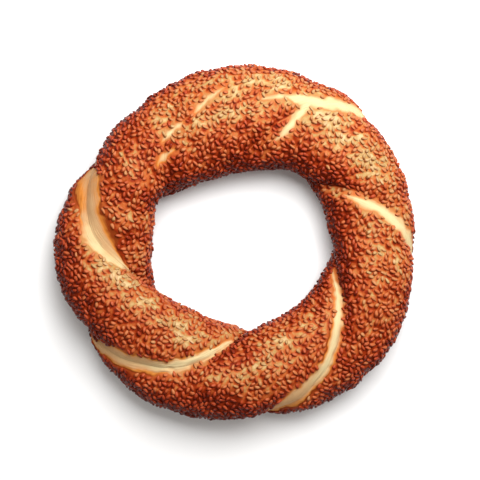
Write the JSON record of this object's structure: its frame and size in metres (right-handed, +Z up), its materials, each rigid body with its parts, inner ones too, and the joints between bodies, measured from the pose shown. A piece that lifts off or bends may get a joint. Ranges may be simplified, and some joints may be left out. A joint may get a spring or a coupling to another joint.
{
  "type": "simit sesame bread ring",
  "caption": "Baked bread ring of two dough ropes twisted together and coated in toasted sesame, lying flat on its base.",
  "frame": {"origin": "middle of the ring's outline, on the surface that its flat baked base rests on", "axes": "+Z up out of the ring's hole, +X along its longest side, +Y towards the fat rolled joint of the ropes"},
  "size_m": [0.1634, 0.1596, 0.032],
  "materials": {
    "crust": null,
    "sesame": "toasted sesame seeds with a slight syrup gloss; carried by the coating of the visual model"
  },
  "bodies": {
    "root": {"simit": "crust"}
  },
  "joints": []
}
